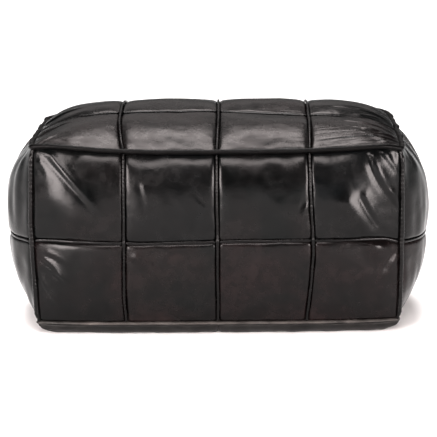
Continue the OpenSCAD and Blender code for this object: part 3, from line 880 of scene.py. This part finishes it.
def leather_material(name, dark, brown, gloss, shift, shine=0.105):
    """Glossy black aniline leather: mottled dye, uneven polish, fine grain and soft hand-made waves. The
    colours given for the base and the base's welt hold a painted reflection and a painted highlight, and the
    colours and shine given for the top edge's welt hold painted shade.
    """
    material, nodes, links, shader = new_material(name)
    place = nodes.new("ShaderNodeMapping")
    place.inputs["Location"].default_value = shift
    links.new(nodes.new("ShaderNodeTexCoord").outputs["Object"], place.inputs["Vector"])
    at = place.outputs["Vector"]
    cloud = texture(nodes, links, "Noise", at, Scale=9.0, Detail=4.0, Roughness=0.55, Distortion=0.6)
    mottle = texture(nodes, links, "Noise", at, Scale=46.0, Detail=5.0, Roughness=0.62, Distortion=0.3)
    fine = texture(nodes, links, "Noise", at, Scale=420.0, Detail=3.0, Roughness=0.6)
    grain = texture(nodes, links, "Voronoi", at, Scale=820.0, Randomness=0.9)
    pores = texture(nodes, links, "Voronoi", at, Scale=240.0, Randomness=1.0)
    browned = ramp(nodes, links, cloud.outputs["Fac"], [(0.38, 0.0), (0.66, 1.0)])
    dye_and_painted_light = mixed(nodes, links, "MIX", browned, dark, brown)
    spots = ramp(nodes, links, mottle.outputs["Fac"], [(0.30, 0.38), (0.70, 1.60)])
    links.new(mixed(nodes, links, "MULTIPLY", 1.0, dye_and_painted_light, spots), shader.inputs["Base Color"])
    worn = mixed(nodes, links, "MIX", 0.42, mottle.outputs["Fac"], cloud.outputs["Fac"])
    polish = ramp(nodes, links, worn, [(0.34, gloss), (0.52, gloss + 0.06), (0.68, gloss + 0.17)])
    links.new(polish, shader.inputs["Roughness"])
    waves = texture(nodes, links, "Noise", at, Scale=70.0, Detail=2.0, Roughness=0.5)
    normal = bump(nodes, links, waves.outputs["Fac"], 0.45, 0.0005)
    normal = bump(nodes, links, mottle.outputs["Fac"], 0.45, 0.0004, normal)
    normal = bump(nodes, links, grain.outputs["Distance"], 0.16, 0.00022, normal)
    pits = ramp(nodes, links, pores.outputs["Distance"], [(0.0, 0.0), (0.25, 1.0)])
    normal = bump(nodes, links, pits, 0.10, 0.0002, normal)
    normal = bump(nodes, links, fine.outputs["Fac"], 0.18, 0.00018, normal)
    links.new(normal, shader.inputs["Normal"])
    shader.inputs["Specular IOR Level"].default_value = shine
    return material


def cloth_material(name, colour, threads, roughness):
    """Plain woven cloth, with threads a metre along X and Y."""
    material, nodes, links, shader = new_material(name)
    place = nodes.new("ShaderNodeTexCoord").outputs["Object"]
    warp = texture(nodes, links, "Wave", place, Scale=threads / 20, Distortion=0.4)
    weft = texture(nodes, links, "Wave", place, Scale=threads / 20, Distortion=0.4)
    weft.bands_direction = "Y"
    noise = texture(nodes, links, "Noise", place, Scale=60.0, Detail=4.0)
    weave = mixed(nodes, links, "MULTIPLY", 1.0, warp.outputs["Color"], weft.outputs["Color"])
    dirt = ramp(nodes, links, noise.outputs["Fac"], [(0.3, 0.82), (0.7, 1.06)])
    links.new(mixed(nodes, links, "MULTIPLY", 1.0, dirt, colour), shader.inputs["Base Color"])
    links.new(bump(nodes, links, weave, 0.5, 0.0003), shader.inputs["Normal"])
    shader.inputs["Roughness"].default_value = roughness
    shader.inputs["Sheen Weight"].default_value = 0.25
    return material


def metal_material():
    """Gunmetal plating, rubbed brighter in places."""
    material, nodes, links, shader = new_material("gunmetal")
    place = nodes.new("ShaderNodeTexCoord").outputs["Object"]
    rub = texture(nodes, links, "Noise", place, Scale=260.0, Detail=4.0)
    scratch = texture(nodes, links, "Noise", place, Scale=1400.0, Detail=2.0)
    plating = ramp(nodes, links, rub.outputs["Fac"], [(0.35, (0.16, 0.15, 0.14)), (0.7, (0.34, 0.32, 0.29))])
    links.new(plating, shader.inputs["Base Color"])
    links.new(ramp(nodes, links, rub.outputs["Fac"], [(0.3, 0.42), (0.7, 0.26)]), shader.inputs["Roughness"])
    links.new(bump(nodes, links, scratch.outputs["Fac"], 0.2, 0.00005), shader.inputs["Normal"])
    shader.inputs["Metallic"].default_value = 1.0
    return material


def nylon_material():
    material, nodes, links, shader = new_material("nylon")
    place = nodes.new("ShaderNodeTexCoord").outputs["Object"]
    noise = texture(nodes, links, "Noise", place, Scale=300.0, Detail=2.0)
    shades = [(0.3, (0.018, 0.018, 0.02)), (0.7, (0.035, 0.035, 0.038))]
    links.new(ramp(nodes, links, noise.outputs["Fac"], shades), shader.inputs["Base Color"])
    shader.inputs["Roughness"].default_value = 0.38
    return material


# ---------------------------------------------------------------- building

# Two near-black hides, and two that show some brown; each is shifted to another place in the same noise
LEATHERS = [
    leather_material("leather_a", (0.0004, 0.0006, 0.0006), (0.0018, 0.0014, 0.0014), 0.18, (0.0, 0.0, 0.0)),
    leather_material("leather_b", (0.0004, 0.0006, 0.0007), (0.0014, 0.0013, 0.0013), 0.17, (0.2, 0.9, 0.5)),
    leather_material("leather_c", (0.0007, 0.0007, 0.0007), (0.0032, 0.0017, 0.0017), 0.20, (0.7, 0.3, 0.1)),
    leather_material("leather_d", (0.0007, 0.0008, 0.0008), (0.0038, 0.0021, 0.0020), 0.22, (0.5, 0.1, 0.8)),
]
# Painted reflection: the base's leather is dyed a lighter grey than the rest of the cover, standing in for
# the pale floor that it mirrors.
BASE_LEATHER_PAINTED_REFLECTION = leather_material(
    "base_leather", (0.0040, 0.0040, 0.0039), (0.0080, 0.0073, 0.0069), 0.42, (0.3, 0.3, 0.3)
)
WELT_LEATHER = leather_material(
    "welt_leather", (0.0005, 0.0005, 0.0005), (0.0012, 0.0009, 0.0009), 0.16, (0.9, 0.4, 0.6)
)
# Painted shade: a darker, less shiny copy of the welt leather, so that the top edge's welt reads as the
# shadowed groove under the top's rim.
EDGE_LEATHER_PAINTED_SHADE = leather_material(
    "edge_leather", (0.0005, 0.0005, 0.0005), (0.0010, 0.0008, 0.0008), 0.30, (0.1, 0.6, 0.2), 0.05
)
# Painted highlight: the base's welt is dyed light grey, standing in for the glint along its upper side.
BASE_WELT_PAINTED_HIGHLIGHT = leather_material(
    "base_welt_leather", (0.018, 0.017, 0.016), (0.045, 0.040, 0.037), 0.30, (0.4, 0.8, 0.2)
)
# Painted shade: the bag's cloth is a near-black grey, so that where it shows through gaps at the seams it
# reads as shade.
COTTON_DARKENED_AS_SHADE = cloth_material("cotton", (0.030, 0.029, 0.028), 2400, 0.85)
WADDING = cloth_material("wadding", (0.80, 0.78, 0.72), 500, 0.95)
TAPE_CLOTH = cloth_material("tape_cloth", (0.022, 0.022, 0.024), 3000, 0.7)


def build():
    pick = np.random.default_rng(7)
    rows = {"top": ("front", "back")}
    for face in SEAMED:
        for row in range(2):
            for column in range(columns(face)):
                name = rows.get(face, ("lower", "upper"))[row]
                node = f"{face}_square_{name}_{column + 1}"
                browner = 2 if face in ("front", "back") and row == 0 else int(pick.integers(2)) * 2
                if face == "front" and row == 1:
                    leather = LEATHERS[column % 2]
                else:
                    leather = LEATHERS[browner + int(pick.integers(2))]
                leather_square(face, column, row, node, leather)
        column_welts(face, WELT_LEATHER)
        row_welts(face, WELT_LEATHER)
    for side in (-1, 1):
        for end in (1, -1):
            node = f"base_{'front' if end > 0 else 'back'}_{'left' if side < 0 else 'right'}"
            base_quarter(side, end, node, BASE_LEATHER_PAINTED_REFLECTION)
    edge_welt(1, EDGE_W, EDGE_H, "piping_top_edge", "top_edge_welt", EDGE_LEATHER_PAINTED_SHADE)
    edge_welt(-1, BASE_EDGE_W, BASE_EDGE_H, "piping_base_edge", "base_edge_welt", BASE_WELT_PAINTED_HIGHLIGHT)
    corner_welts(WELT_LEATHER)
    bag = inner_body("cotton_bag", depth=0.0085, thickness=0.0008, lump=0.0006, material=COTTON_DARKENED_AS_SHADE)
    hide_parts("cotton_liner")
    mass = inner_body("stuffing", depth=0.0140, thickness=0, lump=0.0015, material=WADDING)
    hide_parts("filling")
    nylon = nylon_material()
    for side in (-1, 1):
        coil(side, nylon)
        tape(side, TAPE_CLOTH)
    metal = metal_material()
    for node in ("zip_stops", "zip_slider", "zip_bail", "zip_pull"):
        mesh = frame["nodes"][node].data
        mesh.materials.clear()
        mesh.materials.append(metal)


def area_light(name, place, target, size, power, colour=(1, 1, 1)):
    light = bpy.data.lights.new(name, "AREA")
    light.shape = "RECTANGLE"
    light.size, light.size_y = size
    light.energy = power
    light.color = colour
    lamp = bpy.data.objects.new(name, light)
    lamp.location = place
    lamp.rotation_euler = (Vector(target) - Vector(place)).to_track_quat("-Z", "Y").to_euler()
    bpy.context.scene.collection.objects.link(lamp)
    return lamp


def flag(lamp, pieces):
    """Keeps a lamp's light off some pieces, as a black flag beside it would."""
    shaded = bpy.data.collections.new("shaded_from_" + lamp.name)
    for piece in pieces:
        shaded.objects.link(piece)
    lamp.light_linking.receiver_collection = shaded
    for member in shaded.collection_objects:
        member.light_linking.link_state = "EXCLUDE"


WARM = (1, 0.905, 0.89)


def studio():
    """A flat pale floor, daylight from above and soft boxes round the front."""
    material, _, _, shader = new_material("paper")
    shader.inputs["Base Color"].default_value = (0.86, 0.86, 0.86, 1)
    shader.inputs["Roughness"].default_value = 0.9
    shader.inputs["Specular IOR Level"].default_value = 0.1
    x, y = np.meshgrid(np.linspace(-20, 20, 3), np.linspace(-20, 20, 3))
    n = np.arange(9).reshape(3, 3)
    quads = np.stack([n[:-1, :-1], n[:-1, 1:], n[1:, 1:], n[1:, :-1]], -1).reshape(-1, 4)
    mesh = bpy.data.meshes.new("backdrop")
    mesh.from_pydata(np.stack([x, y, 0 * x], -1).reshape(-1, 3).tolist(), [], quads.tolist())
    mesh.polygons.foreach_set("use_smooth", [True] * len(mesh.polygons))
    mesh.materials.append(material)
    floor = bpy.data.objects.new("backdrop", mesh)
    bpy.context.scene.collection.objects.link(floor)

    world = bpy.data.worlds.new("studio")
    bpy.context.scene.world = world
    world.use_nodes = True
    world.node_tree.nodes["Background"].inputs["Color"].default_value = (1, 0.98, 0.97, 1)
    world.node_tree.nodes["Background"].inputs["Strength"].default_value = 0.20
    sun = bpy.data.lights.new("daylight", "SUN")
    sun.angle = math.radians(24)
    sun.energy = 4.0
    lamp = bpy.data.objects.new("daylight", sun)
    lamp.rotation_euler = (math.radians(-4), math.radians(-3), 0)
    bpy.context.scene.collection.objects.link(lamp)
    area_light("overhead", (0.0, 1.30, 2.05), (0, -0.08, 0.33), (1.10, 0.52), 26, WARM)
    left = area_light("left_box", (-1.42, -1.92, 0.46), (0, 0, 0.22), (0.85, 0.85), 118, WARM)
    right = area_light("right_box", (1.62, -1.78, 0.42), (0, 0, 0.20), (0.95, 0.80), 110, WARM)
    area_light("front_box", (-0.15, -2.05, 1.60), (0, 0, 0.28), (1.3, 0.50), 58, WARM)
    area_light("back_box", (0.0, 2.60, 1.45), (0, 0, 0.33), (2.6, 0.75), 3.2, WARM)
    on_top = ("skin_top_", "piping_columns_top", "piping_rows_top")
    tops = [piece for piece in bpy.context.scene.objects if piece.name.startswith(on_top)]
    for lamp in (left, right):
        flag(lamp, tops)


def camera():
    """The camera, at the photograph's angle: from the front, a little above, and slightly rolled."""
    azimuth, elevation, roll = math.radians(0.48), math.radians(14.56), math.radians(-0.57)
    distance, focal, sensor = 3.191, 153.2, 36.0
    target = Vector((0.0008, 0, 0.1624))
    level, rise = math.cos(elevation), math.sin(elevation)
    back = Vector((math.sin(azimuth) * level, -math.cos(azimuth) * level, rise))
    right = Vector((math.cos(azimuth), math.sin(azimuth), 0))
    up = back.cross(right)
    right, up = (
        math.cos(roll) * right + math.sin(roll) * up,
        -math.sin(roll) * right + math.cos(roll) * up,
    )
    data = bpy.data.cameras.new("camera")
    data.lens, data.sensor_width = focal, sensor
    data.clip_end = 50
    eye = bpy.data.objects.new("camera", data)
    turn = Matrix((right, up, back)).transposed().to_4x4()
    eye.matrix_world = Matrix.Translation(target + back * distance) @ turn
    bpy.context.scene.collection.objects.link(eye)
    bpy.context.scene.camera = eye


bpy.context.scene.view_settings.view_transform = "Standard"
camera()
build()
studio()
